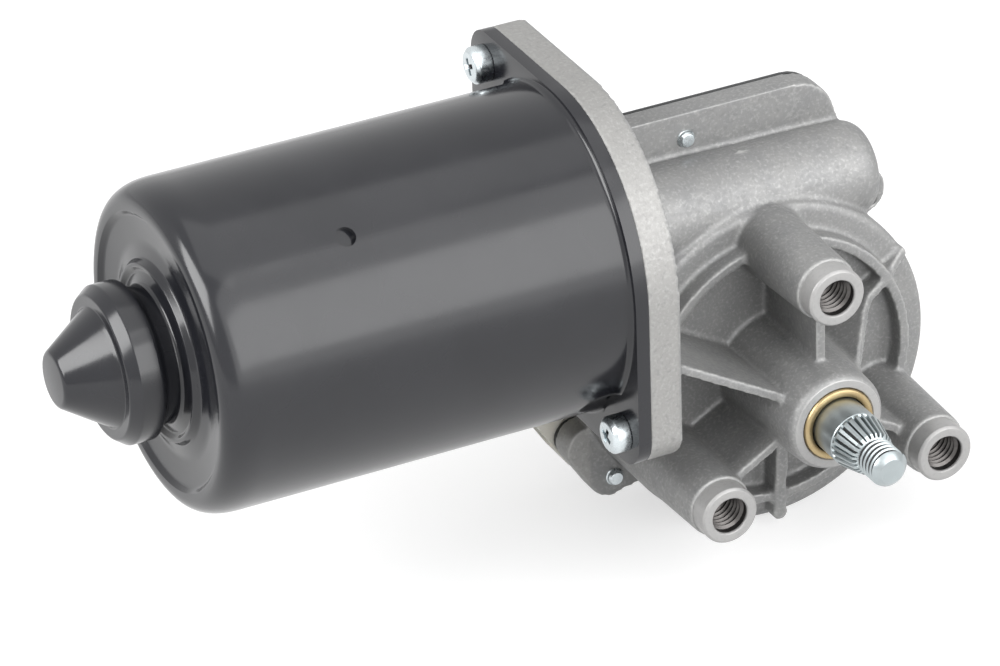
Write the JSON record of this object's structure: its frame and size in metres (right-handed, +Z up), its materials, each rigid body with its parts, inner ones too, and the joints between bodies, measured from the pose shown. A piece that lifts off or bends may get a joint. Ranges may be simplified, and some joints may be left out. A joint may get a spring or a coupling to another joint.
{
  "type": "wiper motor",
  "caption": "Geared wiper motor: black drawn can, cast worm gearbox with three threaded bosses and a knurled, threaded output shaft.",
  "frame": {"origin": "where the output shaft axis crosses the plane of the three boss faces", "axes": "+Z up, -Y along the output shaft out of the gearbox, -X along the motor axis towards the nose"},
  "size_m": [0.1877, 0.0969, 0.104],
  "materials": {
    "can_paint": "gloss black stove enamel on drawn steel",
    "cast_alloy": "as-cast grainy zinc-grey die casting with machined faces",
    "zinc_plate": "bright zinc plate",
    "brass": "turned brass",
    "sintered": "oil-soaked sintered bronze",
    "steel": "ground steel",
    "sheet_black": "satin black coated sheet",
    "seal_rubber": "matt black rubber",
    "cream_plastic": "moulded cream plastic",
    "white_plastic": "moulded acetal",
    "brown_laminate": "phenolic laminate",
    "copper": "bare copper",
    "enamelled_wire": "enamelled copper wire",
    "ferrite": "ground ferrite",
    "lamination": "stacked electrical steel",
    "carbon": "pressed carbon",
    "felt": "oiled wool felt"
  },
  "bodies": {
    "housing": {"motor_can": "can_paint", "field_magnets": "ferrite", "magnet_clips": "steel", "nose_bearing": "sintered", "bearing_retainer": "steel", "oil_felt": "felt", "nose_thrust_pad": "white_plastic", "brush_plate": "brown_laminate", "brush_holders": "brass", "chokes": "enamelled_wire", "lead_bars": "copper", "flange_screws": "zinc_plate", "gearbox_housing": "cast_alloy", "centre_bearing": "sintered", "worm_end_bush": "sintered", "worm_thrust_pad": "white_plastic", "front_shaft_bush": "brass", "rear_shaft_bush": "brass", "shaft_seal": "seal_rubber", "cover_gasket": "seal_rubber", "gear_cover": "sheet_black", "cover_screws": "zinc_plate", "contact_plate": "brown_laminate", "park_contacts": "copper", "connector_shell": "cream_plastic", "connector_terminals": "brass", "brush_spring_common": "steel", "brush_spring_low": "steel", "brush_spring_high": "steel"},
    "armature": {"armature_shaft": "steel", "worm": "steel", "armature_core": "lamination", "armature_windings": "enamelled_wire", "commutator_bars": "copper", "commutator_hub": "brown_laminate", "thrust_ball": "steel"},
    "output": {"output_shaft": "zinc_plate", "worm_wheel": "white_plastic", "wheel_hub": "steel", "park_disc": "copper", "shim_washer": "steel"},
    "common_brush": {"brush_common": "carbon"},
    "low_brush": {"brush_low": "carbon"},
    "high_brush": {"brush_high": "carbon"}
  },
  "joints": [
    {"name": "armature_spin", "type": "hinge", "parent": "housing", "child": "armature", "pos_m": [-0.085, 0.04, 0.033], "axis": [1, 0, 0], "continuous": true},
    {"name": "output_spin", "type": "hinge", "parent": "housing", "child": "output", "pos_m": [0, 0, 0], "axis": [0, 1, 0], "continuous": true},
    {"name": "common_brush_slide", "type": "slide", "parent": "housing", "child": "common_brush", "axis": [0, 0, 1], "range_m": [0, 0.003], "stiffness_N_per_m": 60, "springref_m": -0.004, "deforming": ["brush_spring_common"]},
    {"name": "low_brush_slide", "type": "slide", "parent": "housing", "child": "low_brush", "axis": [0, 0, -1], "range_m": [0, 0.003], "stiffness_N_per_m": 60, "springref_m": -0.004, "deforming": ["brush_spring_low"]},
    {"name": "high_brush_slide", "type": "slide", "parent": "housing", "child": "high_brush", "axis": [0, -0.866, -0.5], "range_m": [0, 0.003], "stiffness_N_per_m": 60, "springref_m": -0.004, "deforming": ["brush_spring_high"]}
  ],
  "couplings": [
    {"joint": "output_spin", "follows": "armature_spin", "ratio": 0.016667}
  ]
}
